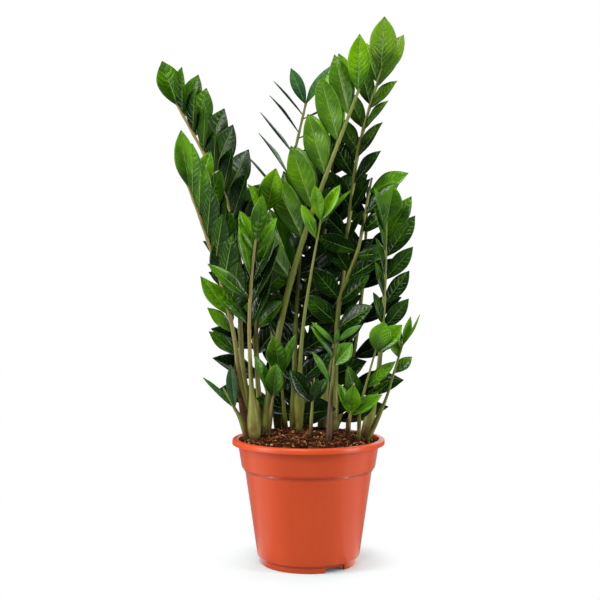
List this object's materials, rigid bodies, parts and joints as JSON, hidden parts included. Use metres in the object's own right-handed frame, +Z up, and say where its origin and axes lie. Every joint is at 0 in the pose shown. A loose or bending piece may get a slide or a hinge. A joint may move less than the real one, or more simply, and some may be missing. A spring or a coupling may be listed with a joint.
{
  "type": "potted zz plant",
  "caption": "Potted zz plant: upright and leaning fronds with glossy oval leaflets, swollen stem feet and young shoots in a round orange nursery pot filled with coir and bark mix.",
  "frame": {"origin": "centre of the pot's foot, on the surface it stands on", "axes": "+Z up along the pot's axis, -Y to the front of the plant, +X to its right"},
  "size_m": [0.4158, 0.2883, 0.8704],
  "materials": {
    "pot_plastic": "satin",
    "potting_mix": "matte",
    "zz_leaf_and_stem": "gloss",
    "dry_sheath": "matte"
  },
  "bodies": {
    "root": {"frond_back_centre": "zz_leaf_and_stem", "frond_back_far_left": "zz_leaf_and_stem", "frond_back_left": "zz_leaf_and_stem", "frond_back_right": "zz_leaf_and_stem", "frond_back_short": "zz_leaf_and_stem", "frond_centre_slim": "zz_leaf_and_stem", "frond_centre_tall": "zz_leaf_and_stem", "frond_left_front": "zz_leaf_and_stem", "frond_left_inner": "zz_leaf_and_stem", "frond_left_mid": "zz_leaf_and_stem", "frond_left_tall": "zz_leaf_and_stem", "frond_middle_dark": "zz_leaf_and_stem", "frond_right_back": "zz_leaf_and_stem", "frond_right_front": "zz_leaf_and_stem", "frond_right_tall": "zz_leaf_and_stem", "pot": "pot_plastic", "sheath_left": "dry_sheath", "sheath_right": "dry_sheath", "shoot_centre": "zz_leaf_and_stem", "shoot_front_left": "zz_leaf_and_stem", "shoot_front_mid": "zz_leaf_and_stem", "shoot_front_right": "zz_leaf_and_stem", "shoot_left_low": "zz_leaf_and_stem", "shoot_left_sheathed": "zz_leaf_and_stem", "shoot_right_edge": "zz_leaf_and_stem", "shoot_right_inner": "zz_leaf_and_stem", "shoot_right_low": "zz_leaf_and_stem", "soil": "potting_mix"}
  },
  "joints": []
}
